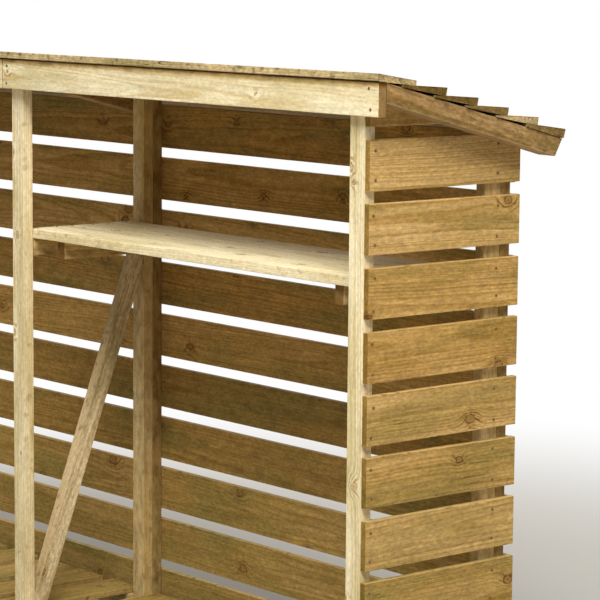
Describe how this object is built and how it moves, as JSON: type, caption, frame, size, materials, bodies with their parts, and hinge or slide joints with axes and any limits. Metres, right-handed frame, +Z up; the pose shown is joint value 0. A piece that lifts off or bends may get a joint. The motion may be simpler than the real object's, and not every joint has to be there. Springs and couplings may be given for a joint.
{
  "type": "log store",
  "caption": "Open-fronted softwood log store with a middle frame, gapped side and back boards, a kindling shelf and a lapped pent roof.",
  "frame": {"origin": "on the ground, in the middle of the roof's plan", "axes": "+X along the front to the right as one faces the open bays, +Y to the back, +Z up"},
  "size_m": [2.294, 0.469, 1.2982],
  "materials": {
    "treated_framing": "sawn pressure-treated softwood, pale green-yellow",
    "treated_boards": "sawn pressure-treated softwood boards, golden brown",
    "weathered_roof_softwood": "sawn pressure-treated softwood boards, darkened and greenish"
  },
  "bodies": {
    "root": {"front_post_left": "treated_framing", "front_post_middle": "treated_framing", "front_post_right": "treated_framing", "rear_post_left": "treated_framing", "rear_post_middle": "treated_framing", "rear_post_right": "treated_framing", "back_upright_left": "treated_framing", "back_upright_middle": "treated_framing", "back_upright_right": "treated_framing", "side_boards_left": "treated_boards", "side_boards_right": "treated_boards", "back_boards": "treated_boards", "front_sill": "treated_framing", "back_sill_left": "treated_framing", "back_sill_right": "treated_framing", "base_rail_left": "treated_framing", "base_rail_middle": "treated_framing", "base_rail_right": "treated_framing", "floor_slats_left": "treated_boards", "floor_slats_right": "treated_boards", "shelf_rail_middle": "treated_framing", "shelf_rail_right": "treated_framing", "shelf_boards": "treated_framing", "shelf_batten_left": "treated_framing", "shelf_batten_right": "treated_framing", "middle_brace": "treated_framing", "rafter_left": "treated_framing", "rafter_middle": "treated_framing", "rafter_right": "treated_framing", "fascia_left": "treated_framing", "fascia_right": "treated_framing", "roof_board_1": "weathered_roof_softwood", "roof_board_2": "weathered_roof_softwood", "roof_board_3": "weathered_roof_softwood", "roof_board_4": "weathered_roof_softwood", "roof_board_5": "weathered_roof_softwood", "roof_board_6": "weathered_roof_softwood"}
  },
  "joints": []
}
